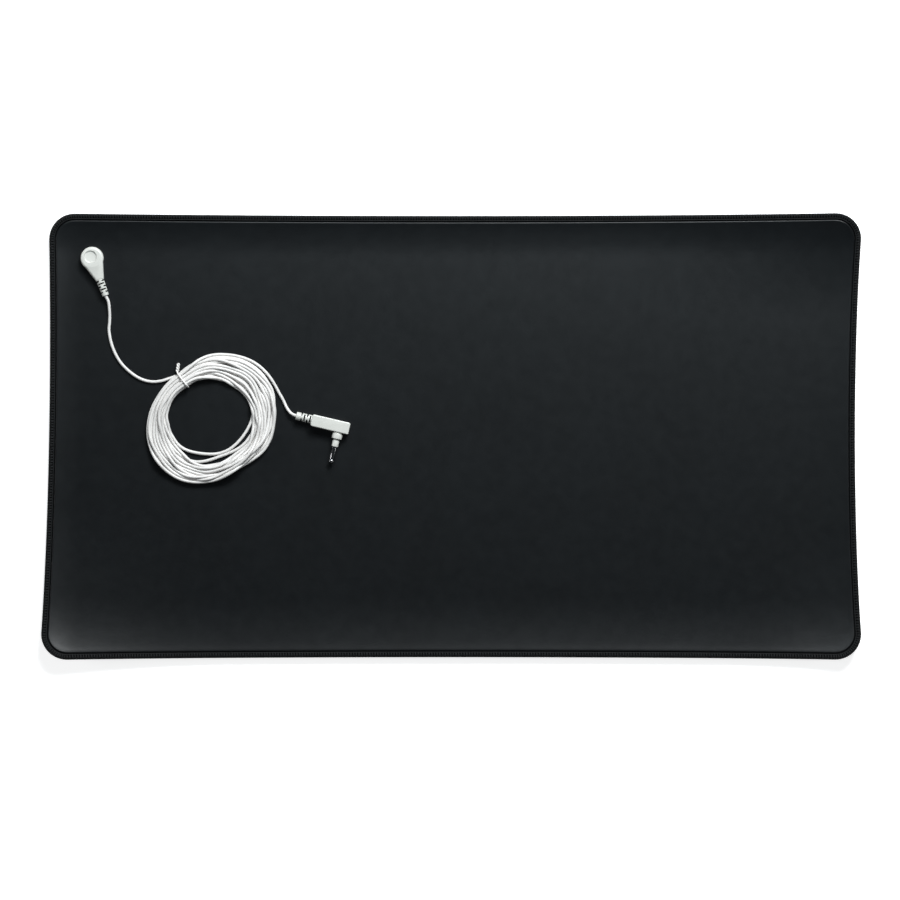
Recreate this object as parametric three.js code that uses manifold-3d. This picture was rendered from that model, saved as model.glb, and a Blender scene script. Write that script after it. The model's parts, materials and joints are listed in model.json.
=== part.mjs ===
import * as THREE from "three";
import { mergeVertices } from "three/addons/utils/BufferGeometryUtils.js";
import Module from "manifold-3d";

// An earthing exercise mat lying on a floor: a leatherette sheet with an overlocked rim, a press stud near
// one corner, and a thin white lead that runs from the stud, through a tied coil, to a right-angle plug.
// Millimetres. +X runs along the mat, +Y across it, +Z up. The origin is on the floor below the middle.

// Mat sheet, measured over its thread
const matLength = 608;
const matWidth = 331;
const matThickness = 2.5;
const cornerRadius = 19.3;
const innerCornerRadius = 4;

// How far the middle of each side is drawn in, and how far the left side leans in at its top
const bow = { left: 2.6, right: 5.4, top: 1.7, bottom: 1.6 };
const leftLean = 5.4;

// The rim curls up: height at the edge of each side, and how far in the curl reaches
const sideCurl = {
  left: { height: 3, reach: 24 },
  right: { height: 3, reach: 40 },
  top: { height: 2.8, reach: 24 },
  bottom: { height: 4, reach: 45 },
};

// Extra curl of three corners, with its reach along X and along Y
const cornerCurl = [
  { sideX: -1, sideY: -1, height: 5, reachX: 110, reachY: 75 },
  { sideX: 1, sideY: -1, height: 4, reachX: 90, reachY: 75 },
  { sideX: 1, sideY: 1, height: 6, reachX: 120, reachY: 75 },
];

// Overlock thread, a skin that wraps the rim and squeezes it
const threadWidth = 5.2;
const threadThickness = 0.4;
const threadProud = 0.1;
const threadRound = 0.7;
const threadClearance = 0.25;

// Press stud and its back cap
const studInsetX = 37.7;
const studInsetY = 32.3;
const flangeRadius = 7.5;
const flangeThickness = 0.6;
const flangeSunk = 0.3;
const bossRadius = 4.9;
const bossNeck = 4.2;
const bossHeight = 3.4;
const bossFillet = 0.5;
const bossGroove = 1.2;
const bossLip = 0.6;
const postRadius = 1.9;
const postEngagement = 1.8;

// Connector moulding and the socket in it
const headRadius = 8.8;
const headHeight = 6.3;
const bodyRadius = 8.3;
const bodyHeight = 6;
const bodyLength = 17.6;
const bodyEndWidth = 5.8;
const dimpleRadius = 4.45;
const dimpleDepth = 0.6;
const socketWall = 1.4;
const socketRoof = 0.6;
const connectorEdge = 1.1;
const connectorAngle = THREE.MathUtils.degToRad(-70);

// Slotted strain reliefs
const connectorRelief = { length: 12, rootRadius: 2.95, tipRadius: 2.5, firstSide: 0.4, firstTop: 2.5 };
const plugRelief = { length: 11.9, rootRadius: 3.1, tipRadius: 3.0, firstSide: 3.4, firstTop: 1.2 };
const slotPitch = 4.35;
const slotWidth = 0.9;
const reliefCore = 2.6;
const reliefRound = 0.6;
const reliefRoot = 0.8;

// Cord and coil
const cordDiameter = 2.2;
const coilCentre = new THREE.Vector2(87.6, -120.1);
const coilRadius = 39.05;
const coilOval = 4.4;
const ovalAngle = THREE.MathUtils.degToRad(40);
const bundleWidth = 17.3;
const bundleHeight = 5.8;

// Twist tie round the coil
const tieAngle = THREE.MathUtils.degToRad(127.6);
const tieRadius = 36.3;
const tiedWidth = 11.8;
const tiedHeight = 7.6;
const tieCorner = 2.4;
const tieSpread = 12;
const tieBandWidth = 1.4;
const tieBandThickness = 0.7;
const tieTailLength = 6.4;
const tieTailTurns = 1.5;
const tieTailLift = 0.4;
const tieTailDirection = new THREE.Vector3(0.72, -0.64, 0.28).normalize();
const tieWireRadius = 0.5;

// Right-angle plug
const plugPlace = new THREE.Vector2(162.66, -120.96);
const plugAngle = THREE.MathUtils.degToRad(-13.3);
const plugReliefShift = 0.45;
const housingLength = 28.8;
const housingWidth = 8.85;
const housingHeight = 8;
const housingCorner = 1.8;
const housingBevel = 1.3;
const collarRounding = 0.4;
const collarRoot = 2;
const pinOffset = 20.8;
const collars = [
  { neckRadius: 2.95, neckLength: 0.9, radius: 3.8, length: 4.2 },
  { neckRadius: 1.95, neckLength: 0.9, radius: 2.5, length: 4.9 },
];
const pinLength = 12.2;
const pinRadius = 2;
const pinRodRadius = 1;
const pinBaseLength = 0.8;
const pinTipLength = 2.4;
const pinSeatDepth = 3;
const pinTipChamfer = 0.4;
const springWall = 0.35;
const springSlot = 1.1;
const springBulge = 0.35;
const springCollar = 1;
const springEndGap = 0.9;

// Room between pieces that touch
const clearance = 0.3;

// Fineness of round faces
const roundSides = 28;
const cordSides = 8;
const cordStep = 2.5;

// Sizes that follow from those above
const halfLength = matLength / 2;
const halfWidth = matWidth / 2;
const studX = -halfLength + studInsetX;
const studY = halfWidth - studInsetY;
const flangeBottom = -flangeSunk;
const flangeTop = flangeBottom + flangeThickness;
const connectorBottom = flangeTop + clearance;
const bossTop = flangeTop + bossHeight;
const socketInner = bossRadius + clearance;
const socketOuter = socketInner + socketWall;
const socketCeiling = bossTop + clearance;
const socketTop = socketCeiling + socketRoof;
const cordRadius = cordDiameter / 2;
const cordRest = clearance + cordRadius;
const connectorReliefHeight = connectorBottom + headHeight / 2;
const housingBottom = clearance;
const plugAxisHeight = housingBottom + housingHeight / 2;

const manifoldLibrary = await Module();
manifoldLibrary.setup();

// Boolean helpers
function toSolid(geometry) {
  const bare = geometry.clone();
  bare.deleteAttribute("normal");
  bare.deleteAttribute("uv");
  const merged = mergeVertices(bare, 1e-4);
  const mesh = new manifoldLibrary.Mesh({
    numProp: 3,
    vertProperties: merged.attributes.position.array,
    triVerts: new Uint32Array(merged.index.array),
  });
  return new manifoldLibrary.Manifold(mesh);
}

function toGeometry(solid) {
  const mesh = solid.getMesh();
  const geometry = new THREE.BufferGeometry();
  geometry.setAttribute("position", new THREE.BufferAttribute(mesh.vertProperties, 3));
  geometry.setIndex(new THREE.BufferAttribute(mesh.triVerts, 1));
  geometry.computeVertexNormals();
  return geometry;
}

// A body turned about Z from a profile of radius and height
function turned(profile, sides = roundSides) {
  const points = profile.map(([radius, height]) => new THREE.Vector2(radius, height));
  return new THREE.LatheGeometry(points, sides).rotateX(Math.PI / 2);
}

function disc(radius, bottom, top) {
  return turned([[0, bottom], [radius, bottom], [radius, top], [0, top]]);
}

function block(sizeX, sizeY, sizeZ, x, y, z) {
  return new THREE.BoxGeometry(sizeX, sizeY, sizeZ).translate(x, y, z);
}

// Part of a circle as radius and height pairs, for the rounded corner of a profile
function arcProfile(centreRadius, centreHeight, radius, fromAngle, toAngle, steps = 4) {
  return Array.from({ length: steps + 1 }, (_, i) => {
    const angle = fromAngle + ((toAngle - fromAngle) * i) / steps;
    return [centreRadius + radius * Math.cos(angle), centreHeight + radius * Math.sin(angle)];
  });
}

function roundedRectangle(width, height, radius) {
  const x = width / 2;
  const y = height / 2;
  const shape = new THREE.Shape();
  shape.moveTo(x, y - radius);
  shape.absarc(x - radius, y - radius, radius, 0, Math.PI / 2, false);
  shape.absarc(-x + radius, y - radius, radius, Math.PI / 2, Math.PI, false);
  shape.absarc(-x + radius, -y + radius, radius, Math.PI, 1.5 * Math.PI, false);
  shape.absarc(x - radius, -y + radius, radius, 1.5 * Math.PI, 2 * Math.PI, false);
  return shape;
}

// A plate of even height with softened edges, its outline at full size between them
function softPlate(shape, height, bevel) {
  return new THREE.ExtrudeGeometry(shape, {
    depth: height - 2 * bevel,
    bevelThickness: bevel,
    bevelSize: bevel,
    bevelOffset: -bevel,
    bevelSegments: 3,
    curveSegments: 8,
  }).translate(0, 0, bevel);
}

// Mat outline and curl

// Moves a point of the true rectangle to where the drawn-in, leaning sides put it
function settle(x, y) {
  const reachX = halfLength - cornerRadius;
  const reachY = halfWidth - cornerRadius;
  const acrossBow = Math.max(0, 1 - (y / reachY) ** 2);
  const alongBow = Math.max(0, 1 - (x / reachX) ** 2);
  const climb = THREE.MathUtils.clamp((y + reachY) / (2 * reachY), 0, 1);
  const pullX = (x > 0 ? bow.right : bow.left) * acrossBow;
  const pullY = (y > 0 ? bow.top : bow.bottom) * alongBow;
  const lean = leftLean * climb * Math.max(0, -x / halfLength);
  return [x - (x / halfLength) * pullX + lean, y - (y / halfWidth) * pullY];
}

function ramp(distance, reach) {
  return Math.max(0, 1 - distance / reach) ** 2;
}

// Height of the underside above the floor at a point of the true rectangle
function curlHeight(x, y) {
  const fromRight = halfLength - x;
  const fromLeft = halfLength + x;
  const fromTop = halfWidth - y;
  const fromBottom = halfWidth + y;
  const sides =
    sideCurl.left.height * ramp(fromLeft, sideCurl.left.reach) +
    sideCurl.right.height * ramp(fromRight, sideCurl.right.reach) +
    sideCurl.top.height * ramp(fromTop, sideCurl.top.reach) +
    sideCurl.bottom.height * ramp(fromBottom, sideCurl.bottom.reach);
  const corners = cornerCurl.map(
    (c) => c.height * ramp(halfLength - c.sideX * x, c.reachX) * ramp(halfWidth - c.sideY * y, c.reachY),
  );
  return corners.reduce((sum, height) => sum + height, sides);
}

// One ring of the mat, a distance in from its edge and a height above its underside
function matRing(inset, above) {
  const cornerSteps = 6;
  const sideSteps = [14, 8, 14, 8];
  const halfX = halfLength - inset;
  const halfY = halfWidth - inset;
  const radius = Math.max(cornerRadius - inset, innerCornerRadius);
  const flat = [];
  const corners = [[1, 1], [-1, 1], [-1, -1], [1, -1]];
  corners.forEach(([signX, signY], quarter) => {
    for (let i = 0; i <= cornerSteps; i++) {
      const angle = (Math.PI / 2) * (quarter + i / cornerSteps);
      const x = signX * (halfX - radius) + radius * Math.cos(angle);
      const y = signY * (halfY - radius) + radius * Math.sin(angle);
      flat.push([x, y]);
    }
    const [startX, startY] = flat[flat.length - 1];
    const [nextX, nextY] = corners[(quarter + 1) % 4];
    const nextAngle = (Math.PI / 2) * (quarter + 1);
    const endX = nextX * (halfX - radius) + radius * Math.cos(nextAngle);
    const endY = nextY * (halfY - radius) + radius * Math.sin(nextAngle);
    const steps = sideSteps[quarter];
    for (let i = 1; i < steps; i++) {
      flat.push([startX + ((endX - startX) * i) / steps, startY + ((endY - startY) * i) / steps]);
    }
  });
  return flat.map(([x, y]) => {
    const [settledX, settledY] = settle(x, y);
    return new THREE.Vector3(settledX, settledY, curlHeight(x, y) + above);
  });
}

// A closed skin over rings with equal counts: capped at both ends, or joined round when looped
function skin(rings, looped) {
  const count = rings[0].length;
  const positions = rings.flat().flatMap((p) => [p.x, p.y, p.z]);
  const index = [];
  const bands = looped ? rings.length : rings.length - 1;
  for (let k = 0; k < bands; k++) {
    const near = k * count;
    const far = ((k + 1) % rings.length) * count;
    for (let i = 0; i < count; i++) {
      const j = (i + 1) % count;
      index.push(near + i, near + j, far + j, near + i, far + j, far + i);
    }
  }
  if (!looped) {
    const first = positions.length / 3;
    const last = (rings.length - 1) * count;
    positions.push(0, 0, rings[0][0].z, 0, 0, rings[rings.length - 1][0].z);
    for (let i = 0; i < count; i++) {
      const j = (i + 1) % count;
      index.push(first, j, i, first + 1, last + i, last + j);
    }
  }
  const geometry = new THREE.BufferGeometry();
  geometry.setAttribute("position", new THREE.Float32BufferAttribute(positions, 3));
  geometry.setIndex(index);
  geometry.computeVertexNormals();
  return geometry;
}

function matSheetGeometry() {
  const curlRings = [76, 60, 45, 34, 24, 19, 14, 9, threadWidth + 2 * threadClearance];
  const squeezedBottom = threadThickness - threadProud + threadClearance;
  const squeezedTop = matThickness - squeezedBottom;
  const edgeInset = threadRound + threadClearance;
  const squeezedInset = threadWidth + threadClearance;
  const rings = [
    ...curlRings.map((inset) => matRing(inset, 0)),
    matRing(squeezedInset, squeezedBottom),
    matRing(edgeInset, squeezedBottom),
    matRing(edgeInset, squeezedTop),
    matRing(squeezedInset, squeezedTop),
    ...curlRings.map((inset) => matRing(inset, matThickness)).reverse(),
  ];
  const below = -2 * matThickness;
  const recessRadius = flangeRadius + clearance;
  const topRecess = disc(recessRadius, flangeBottom - clearance, matThickness);
  const capRecess = disc(recessRadius, below, flangeThickness + clearance - matThickness);
  const postHole = disc(postRadius + clearance, below, matThickness);
  return toGeometry(
    [topRecess, capRecess, postHole].reduce(
      (sheet, cutter) => sheet.subtract(toSolid(cutter.translate(studX, studY, matThickness))),
      toSolid(skin(rings, false)),
    ),
  );
}

function edgeBindingGeometry() {
  const top = matThickness + threadProud;
  const bottom = -threadProud;
  const innerBottom = bottom + threadThickness;
  const innerTop = top - threadThickness;
  const profile = [
    [threadWidth, bottom],
    [threadRound, bottom],
    [0, bottom + threadRound],
    [0, top - threadRound],
    [threadRound, top],
    [threadWidth, top],
    [threadWidth, innerTop],
    [threadRound, innerTop],
    [threadRound, innerBottom],
    [threadWidth, innerBottom],
  ];
  return skin(profile.map(([inset, above]) => matRing(inset, above)), true);
}

// Press stud, back cap and socket, with height 0 at the mat's top face
function snapStudGeometry() {
  const boreTop = flangeTop + postEngagement + clearance;
  const bore = postRadius + clearance;
  return turned([
    [bore, flangeBottom],
    [flangeRadius, flangeBottom],
    [flangeRadius, flangeTop],
    [bossNeck + bossFillet, flangeTop],
    [bossNeck, flangeTop + bossFillet],
    [bossNeck, flangeTop + bossGroove],
    [bossRadius, bossTop - 2 * bossLip],
    [bossRadius, bossTop - bossLip],
    [bossRadius - bossLip, bossTop],
    [0, bossTop],
    [0, boreTop],
    [bore, boreTop],
    [bore, flangeBottom],
  ]);
}

function studPostGeometry() {
  const capBottom = -matThickness;
  const capTop = capBottom + flangeThickness;
  return turned([
    [0, capBottom],
    [flangeRadius, capBottom],
    [flangeRadius, capTop],
    [postRadius, capTop],
    [postRadius, flangeTop + postEngagement],
    [0, flangeTop + postEngagement],
  ]);
}

function snapSocketGeometry() {
  return turned([
    [socketInner, connectorBottom],
    [socketOuter, connectorBottom],
    [socketOuter, socketTop],
    [0, socketTop],
    [0, socketCeiling],
    [socketInner, socketCeiling],
    [socketInner, connectorBottom],
  ]);
}

// A tapered relief along +X with slots at its sides and, half a pitch on, above and below
function reliefSolid(relief) {
  const bar = turned([
    [0, -reliefRoot],
    [relief.rootRadius, -reliefRoot],
    [relief.rootRadius, 0],
    [relief.tipRadius, relief.length - reliefRound],
    [relief.tipRadius - reliefRound, relief.length],
    [0, relief.length],
  ]).rotateY(Math.PI / 2);
  const slotReach = 2 * relief.rootRadius;
  const slotCentre = reliefCore / 2 + slotReach / 2;
  let solid = toSolid(bar);
  for (let x = relief.firstSide; x < relief.length - slotPitch / 2; x += slotPitch) {
    for (const side of [-1, 1]) {
      const slot = block(slotWidth, slotReach, 2 * slotReach, x, side * slotCentre, 0);
      solid = solid.subtract(toSolid(slot));
    }
  }
  for (let x = relief.firstTop; x < relief.length - slotPitch; x += slotPitch) {
    for (const side of [-1, 1]) {
      const slot = block(slotWidth, 2 * slotReach, slotReach, x, 0, side * slotCentre);
      solid = solid.subtract(toSolid(slot));
    }
  }
  return solid;
}

// The head is a round boss; the body runs from it to the relief with straight tapering sides
function bodyOutline() {
  const endHalf = bodyEndWidth / 2;
  const reach = Math.hypot(bodyLength, endHalf);
  const tangent = Math.atan2(endHalf, bodyLength) + Math.acos(bodyRadius / reach);
  const shape = new THREE.Shape();
  shape.moveTo(bodyLength, endHalf);
  shape.absarc(0, 0, bodyRadius, tangent, 2 * Math.PI - tangent, false);
  shape.lineTo(bodyLength, -endHalf);
  shape.closePath();
  return shape;
}

function snapConnectorGeometry() {
  const head = turned([
    [0, 0],
    [headRadius - connectorEdge / 2, 0],
    [headRadius, connectorEdge / 2],
    ...arcProfile(headRadius - connectorEdge, headHeight - connectorEdge, connectorEdge, 0, Math.PI / 2),
    [0, headHeight],
  ]);
  const body = softPlate(bodyOutline(), bodyHeight, connectorEdge);
  const boreRadius = socketOuter + clearance;
  const boreTop = socketTop + clearance - connectorBottom;
  const bore = disc(boreRadius, -1, boreTop);
  const dimple = disc(dimpleRadius, headHeight - dimpleDepth, headHeight + 1);
  const reliefAxis = connectorReliefHeight - connectorBottom;
  return toGeometry(
    toSolid(head)
      .add(toSolid(body))
      .add(reliefSolid(connectorRelief).translate([bodyLength, 0, reliefAxis]))
      .subtract(toSolid(bore))
      .subtract(toSolid(dimple)),
  );
}

// Cord tubes, coil and tie, with height 0 at the mat's top face and the stud at the middle
const connectorDirection = new THREE.Vector2(Math.cos(connectorAngle), Math.sin(connectorAngle));
const plugDirection = new THREE.Vector2(Math.cos(plugAngle), Math.sin(plugAngle));
const leadStart = connectorDirection.clone().multiplyScalar(bodyLength + connectorRelief.length + clearance);
const plugSide = plugDirection.clone().rotateAround(new THREE.Vector2(), Math.PI / 2);
const tailEnd = plugPlace
  .clone()
  .addScaledVector(plugDirection, -(plugRelief.length + clearance))
  .addScaledVector(plugSide, plugReliefShift);

const leadRoute = [
  [leadStart.x, leadStart.y, connectorReliefHeight],
  [11.7, -32.6, connectorReliefHeight - 0.3],
  [12.5, -39.4, 3.2],
  [12.6, -47, 1.7],
  [12.1, -54.7, cordRest],
  [14.6, -66.4, cordRest],
  [19.9, -77.1, cordRest],
  [27.3, -85, cordRest],
  [35.8, -90.5, cordRest],
  [43.5, -92.5, cordRest],
  [49.2, -92.5, cordRest],
  [53.6, -91.3, cordRest],
];

const tailRoute = [
  [105.4, -71.6, cordRest],
  [112.4, -73.8, cordRest],
  [120.5, -77, cordRest],
  [128.5, -85, cordRest],
  [135.8, -96.2, cordRest],
  [140.6, -106.2, cordRest + 0.4],
  [144.4, -112.2, 2.8],
  [147.9, -116.6, plugAxisHeight - 0.3],
  [tailEnd.x, tailEnd.y, plugAxisHeight],
];

function cordGeometry(route) {
  const path = new THREE.CatmullRomCurve3(route.map(([x, y, z]) => new THREE.Vector3(x, y, z)));
  const section = new THREE.Shape(
    Array.from({ length: cordSides }, (_, i) => {
      const angle = (2 * Math.PI * i) / cordSides;
      return new THREE.Vector2(cordRadius * Math.cos(angle), cordRadius * Math.sin(angle));
    }),
  );
  const steps = Math.round(path.getLength() / (cordStep * cordDiameter));
  return new THREE.ExtrudeGeometry(section, { steps, extrudePath: path });
}

// The coil's outer shape: an oval ring of rounded section, drawn in where the tie holds it
function coilGeometry() {
  const middleHeight = clearance + bundleHeight / 2;
  const tiedHeightAxis = 2 * clearance + tieBandThickness + tiedHeight / 2;
  const halfTall = bundleHeight / 2;
  const roundCentre = bundleWidth / 2 - halfTall;
  const profile = [
    ...arcProfile(coilRadius + roundCentre, middleHeight, halfTall, -Math.PI / 2, Math.PI / 2),
    ...arcProfile(coilRadius - roundCentre, middleHeight, halfTall, Math.PI / 2, 1.5 * Math.PI),
  ];
  const ring = turned([...profile, profile[0]], 56);
  const position = ring.attributes.position;
  for (let i = 0; i < position.count; i++) {
    const angle = Math.atan2(position.getY(i), position.getX(i));
    const radius = Math.hypot(position.getX(i), position.getY(i));
    const apart = Math.abs(Math.atan2(Math.sin(angle - tieAngle), Math.cos(angle - tieAngle)));
    const tied = Math.exp(-(((apart * coilRadius) / tieSpread) ** 2));
    const oval = coilOval * Math.cos(2 * (angle - ovalAngle));
    const width = THREE.MathUtils.lerp(bundleWidth + oval, tiedWidth, tied);
    const middle = THREE.MathUtils.lerp(coilRadius + oval / 2, tieRadius, tied);
    const tiedZ = tiedHeightAxis + ((position.getZ(i) - middleHeight) * tiedHeight) / bundleHeight;
    const newRadius = middle + ((radius - coilRadius) * width) / bundleWidth;
    position.setXYZ(
      i,
      newRadius * Math.cos(angle),
      newRadius * Math.sin(angle),
      THREE.MathUtils.lerp(position.getZ(i), tiedZ, tied),
    );
  }
  ring.computeVertexNormals();
  return ring;
}

// The tie: a flat band round the bundle and a twisted pair of ends beside it.
// In its own frame X points out from the coil's middle and the band runs across Y.
class TwistedEnd extends THREE.Curve {
  constructor(start, direction, phase) {
    super();
    this.start = start;
    this.direction = direction;
    this.phase = phase;
  }

  getPoint(t, target = new THREE.Vector3()) {
    const angle = this.phase + 2 * Math.PI * tieTailTurns * t;
    const side = new THREE.Vector3(0, 0, 1).cross(this.direction).normalize();
    const rise = new THREE.Vector3().crossVectors(this.direction, side);
    return target
      .copy(this.start)
      .addScaledVector(this.direction, tieTailLength * t)
      .addScaledVector(side, tieWireRadius * 0.9 * Math.cos(angle))
      .addScaledVector(rise, tieWireRadius * 0.9 * Math.sin(angle));
  }
}

function twistTieGeometry() {
  const innerWidth = tiedWidth + 2 * clearance;
  const innerHeight = tiedHeight + 2 * clearance;
  const band = roundedRectangle(
    innerWidth + 2 * tieBandThickness,
    innerHeight + 2 * tieBandThickness,
    tieCorner + tieBandThickness,
  );
  band.holes.push(roundedRectangle(innerWidth, innerHeight, tieCorner));
  const middleHeight = clearance + tieBandThickness + innerHeight / 2;
  const loop = new THREE.ExtrudeGeometry(band, { depth: tieBandWidth, bevelEnabled: false, curveSegments: 5 })
    .translate(0, 0, -tieBandWidth / 2)
    .rotateX(Math.PI / 2)
    .translate(tieRadius, 0, middleHeight);
  const outerEdge = tieRadius + innerWidth / 2 + tieBandThickness / 2;
  const start = new THREE.Vector3(outerEdge, 0, middleHeight + tieTailLift);
  const section = new THREE.Shape().absarc(0, 0, tieWireRadius, 0, 2 * Math.PI, false);
  const ends = [0, Math.PI].map((phase) =>
    toSolid(
      new THREE.ExtrudeGeometry(section, {
        steps: 14,
        curveSegments: 6,
        extrudePath: new TwistedEnd(start, tieTailDirection, phase),
      }),
    ),
  );
  return toGeometry(ends.reduce((solid, end) => solid.add(end), toSolid(loop)));
}

// Plug: the housing lies along +X from its cord end, and the pin points to -Y.
// Its height 0 is the axis of the relief and the pin.
const stemLengths = collars.map((collar) => collar.neckLength + collar.length);
const stemLength = stemLengths[0] + stemLengths[1];

function alongPin(geometry) {
  return geometry.rotateX(Math.PI / 2).translate(pinOffset, -housingWidth / 2, 0);
}

function plugHousingGeometry() {
  const housing = softPlate(
    roundedRectangle(housingLength, housingWidth, housingCorner),
    housingHeight,
    housingBevel,
  ).translate(housingLength / 2, 0, -housingHeight / 2);
  const stemProfile = [[0, -collarRoot], [collars[0].neckRadius, -collarRoot]];
  collars.forEach((collar, i) => {
    const start = i * stemLengths[0];
    const end = start + stemLengths[i];
    stemProfile.push(
      [collar.neckRadius, start + collar.neckLength],
      [collar.radius, start + collar.neckLength],
      [collar.radius, end - collarRounding],
      [collar.radius - collarRounding, end],
      [i ? 0 : collars[1].neckRadius, end],
    );
  });
  const stem = alongPin(turned(stemProfile));
  const seat = alongPin(disc(pinRodRadius + clearance, stemLength - pinSeatDepth, stemLength + 1));
  const relief = reliefSolid(plugRelief).rotate([0, 0, 180]).translate([0, plugReliefShift, 0]);
  return toGeometry(toSolid(housing).add(toSolid(stem)).add(relief).subtract(toSolid(seat)));
}

const pinStart = stemLength + clearance;
const pinTipStart = pinStart + pinLength - clearance - pinTipLength;

function pinCoreGeometry() {
  const end = pinTipStart + pinTipLength;
  const seated = pinStart - pinSeatDepth;
  const tipNose = arcProfile(0, end - pinRadius, pinRadius, THREE.MathUtils.degToRad(12), Math.PI / 2, 5);
  return alongPin(
    turned([
      [0, seated],
      [pinRodRadius, seated],
      [pinRodRadius, pinStart],
      [pinRadius, pinStart],
      [pinRadius, pinStart + pinBaseLength],
      [pinRodRadius, pinStart + pinBaseLength],
      [pinRodRadius, pinTipStart],
      [pinRadius - pinTipChamfer, pinTipStart],
      ...tipNose.slice(0, -1),
      [0, end],
    ], 20),
  );
}

// The spring cage: a thin barrel with four lengthwise slots
function pinSpringGeometry() {
  const from = pinStart + pinBaseLength + clearance;
  const to = pinTipStart - springEndGap;
  const inner = pinRodRadius + clearance;
  const steps = 8;
  const barrel = Array.from({ length: steps + 1 }, (_, i) => {
    const t = i / steps;
    return [inner + springBulge * Math.sin(Math.PI * t), from + (to - from) * t];
  });
  const shell = turned([
    ...barrel.map(([radius, height]) => [radius + springWall, height]),
    ...barrel.slice().reverse(),
    [barrel[0][0] + springWall, from],
  ], 20);
  const slotLength = to - from - 2 * springCollar;
  const reach = 4 * pinRadius;
  const slots = [0, Math.PI / 2].map((turn) =>
    toSolid(block(reach, springSlot, slotLength, 0, 0, (from + to) / 2).rotateZ(turn + Math.PI / 4)),
  );
  const cage = slots.reduce((solid, slot) => solid.subtract(slot), toSolid(shell));
  return alongPin(toGeometry(cage));
}

// Materials
const leatherette = new THREE.MeshStandardMaterial({ color: 0x1c2020, roughness: 0.62, metalness: 0 });
const thread = new THREE.MeshStandardMaterial({ color: 0x101212, roughness: 0.85, metalness: 0 });
const whitePlastic = new THREE.MeshStandardMaterial({ color: 0xdce1dd, roughness: 0.42, metalness: 0 });
const whiteCord = new THREE.MeshStandardMaterial({ color: 0xf0f2f0, roughness: 0.5, metalness: 0 });
const platedMetal = new THREE.MeshStandardMaterial({ color: 0xb9bcc0, roughness: 0.25, metalness: 1 });

function piece(name, geometry, material, parent) {
  const mesh = new THREE.Mesh(geometry, material);
  mesh.name = name;
  parent.add(mesh);
  return mesh;
}

// Assembly
const mat = new THREE.Group();
piece("mat_sheet", matSheetGeometry(), leatherette, mat);
piece("edge_binding", edgeBindingGeometry(), thread, mat);

const onMat = new THREE.Group();
onMat.position.set(studX, studY, matThickness);
mat.add(onMat);
piece("snap_stud", snapStudGeometry(), platedMetal, onMat);
piece("stud_post", studPostGeometry(), platedMetal, onMat);
piece("snap_socket", snapSocketGeometry(), platedMetal, onMat);

const connector = new THREE.Group();
connector.position.z = connectorBottom;
connector.rotation.z = connectorAngle;
onMat.add(connector);
piece("snap_connector", snapConnectorGeometry(), whitePlastic, connector);

piece("cord_lead", cordGeometry(leadRoute), whiteCord, onMat);
piece("cord_tail", cordGeometry(tailRoute), whiteCord, onMat);

const coil = new THREE.Group();
coil.position.set(coilCentre.x, coilCentre.y, 0);
onMat.add(coil);
piece("cord_coil", coilGeometry(), whiteCord, coil);
const tie = piece("twist_tie", twistTieGeometry(), whitePlastic, coil);
tie.rotation.z = tieAngle;

const plug = new THREE.Group();
plug.position.set(plugPlace.x, plugPlace.y, plugAxisHeight);
plug.rotation.z = plugAngle;
onMat.add(plug);
piece("plug_housing", plugHousingGeometry(), whitePlastic, plug);
piece("pin_core", pinCoreGeometry(), platedMetal, plug);
piece("pin_spring", pinSpringGeometry(), platedMetal, plug);

export default mat;
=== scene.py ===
import json
import math

import bmesh
import bpy
import numpy as np
from mathutils import Matrix, Vector

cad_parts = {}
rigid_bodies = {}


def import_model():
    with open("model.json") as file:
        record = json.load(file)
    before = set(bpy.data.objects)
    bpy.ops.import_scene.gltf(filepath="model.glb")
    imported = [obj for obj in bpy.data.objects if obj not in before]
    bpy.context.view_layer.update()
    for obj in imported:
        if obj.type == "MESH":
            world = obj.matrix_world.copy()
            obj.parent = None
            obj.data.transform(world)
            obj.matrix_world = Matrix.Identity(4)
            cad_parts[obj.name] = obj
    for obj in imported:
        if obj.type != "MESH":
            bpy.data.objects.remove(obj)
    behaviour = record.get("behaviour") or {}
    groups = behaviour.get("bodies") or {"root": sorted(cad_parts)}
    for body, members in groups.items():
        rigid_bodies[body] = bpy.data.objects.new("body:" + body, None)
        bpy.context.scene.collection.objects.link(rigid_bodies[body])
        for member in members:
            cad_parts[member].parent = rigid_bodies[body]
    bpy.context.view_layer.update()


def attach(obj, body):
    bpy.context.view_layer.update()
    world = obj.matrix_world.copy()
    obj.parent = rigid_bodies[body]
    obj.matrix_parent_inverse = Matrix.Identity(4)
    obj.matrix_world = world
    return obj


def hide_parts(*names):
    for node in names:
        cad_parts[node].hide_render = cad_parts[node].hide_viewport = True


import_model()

# Sizes in millimetres and angles in degrees, unless a line says otherwise
MM = 0.001
MAT_LENGTH = 608.0
MAT_WIDTH = 331.0
MAT_THICKNESS = 2.5
CORNER_RADIUS = 19.3
BOW = {"left": 2.6, "right": 4.2, "top": 1.7, "bottom": 1.6}
LEFT_LEAN = 5.4
# Lift of each side and how far in it reaches
SIDE_CURL = {"left": (3.0, 24.0), "right": (3.0, 40.0), "top": (3.4, 30.0), "bottom": (4.0, 45.0)}
# Corner by its signs, its extra lift, and its reach along X and along Y
CORNER_CURL = [(-1, -1, 9.5, 150.0, 120.0), (1, -1, 6.0, 110.0, 95.0), (1, 1, 8.5, 210.0, 75.0)]

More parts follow.
